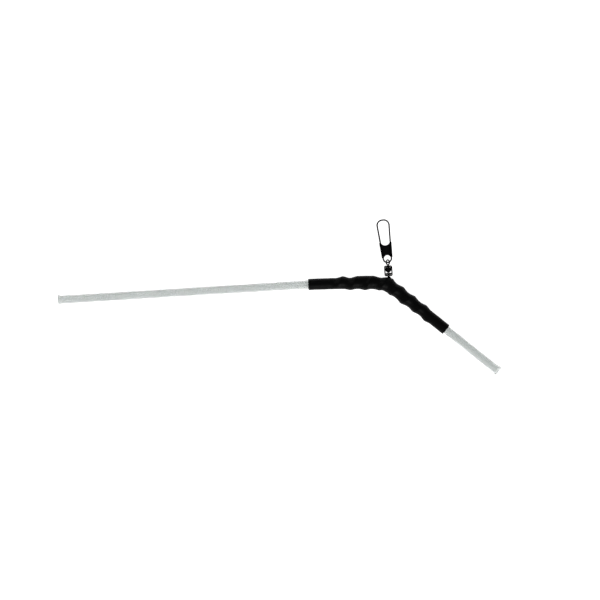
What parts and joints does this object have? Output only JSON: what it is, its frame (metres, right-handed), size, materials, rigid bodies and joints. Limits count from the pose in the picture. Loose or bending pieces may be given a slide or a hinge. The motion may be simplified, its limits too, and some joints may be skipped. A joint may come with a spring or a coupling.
{
  "type": "anti-tangle fishing boom",
  "caption": "Elbowed clear line tube with a sleeved spring winding at its bend, which holds a barrel swivel and a safety snap for a lead.",
  "frame": {"origin": "on the bore's axis, where the straight run of the long arm ends", "axes": "+X along the long arm towards the elbow, +Y the swivel's side, +Z across the plane of the bend"},
  "size_m": [0.186, 0.069, 0.0066],
  "materials": {
    "clear_tube": "clear extruded plastic, slightly grey, gloss",
    "spring_wire": "drawn stainless spring wire",
    "heat_shrink": "satin black polyolefin",
    "black_nickel": "black nickel plate on brass",
    "snap_wire_black": "black nickel plate on spring wire",
    "snap_plate_black": "black plated pressed sheet"
  },
  "bodies": {
    "boom": {"boom_long_arm": "clear_tube", "boom_elbow": "clear_tube", "boom_short_arm": "clear_tube", "anchor_wire": "spring_wire", "shrink_sleeve": "heat_shrink"},
    "lower_eye": {"swivel_lower_eye": "black_nickel"},
    "barrel": {"swivel_barrel": "black_nickel"},
    "upper_eye": {"swivel_upper_eye": "black_nickel"},
    "snap": {"snap_wire": "snap_wire_black", "snap_plate": "snap_plate_black"},
    "gate": {"snap_gate": "snap_wire_black"}
  },
  "joints": [
    {"name": "anchor_swing", "type": "hinge", "parent": "boom", "child": "lower_eye", "pos_m": [0.03995, 0.0002, 0], "axis": [0, 0, 1], "range_deg": [-45, 10]},
    {"name": "barrel_spin", "type": "hinge", "parent": "lower_eye", "child": "barrel", "pos_m": [0.03995, 0.0017, 0], "axis": [0, 1, 0], "continuous": true},
    {"name": "upper_eye_spin", "type": "hinge", "parent": "barrel", "child": "upper_eye", "pos_m": [0.03995, 0.00565, 0], "axis": [0, 1, 0], "continuous": true},
    {"name": "snap_tilt", "type": "hinge", "parent": "upper_eye", "child": "snap", "pos_m": [0.03995, 0.00725, 0], "axis": [0.9978, 0.0663, 0], "range_deg": [-60, 60]},
    {"name": "gate_flex", "type": "hinge", "parent": "snap", "child": "gate", "pos_m": [0.03875, 0.02531, 0], "axis": [0.9978, 0.0663, 0], "range_deg": [-20, 0], "stiffness_Nm_per_rad": 0.0005}
  ]
}
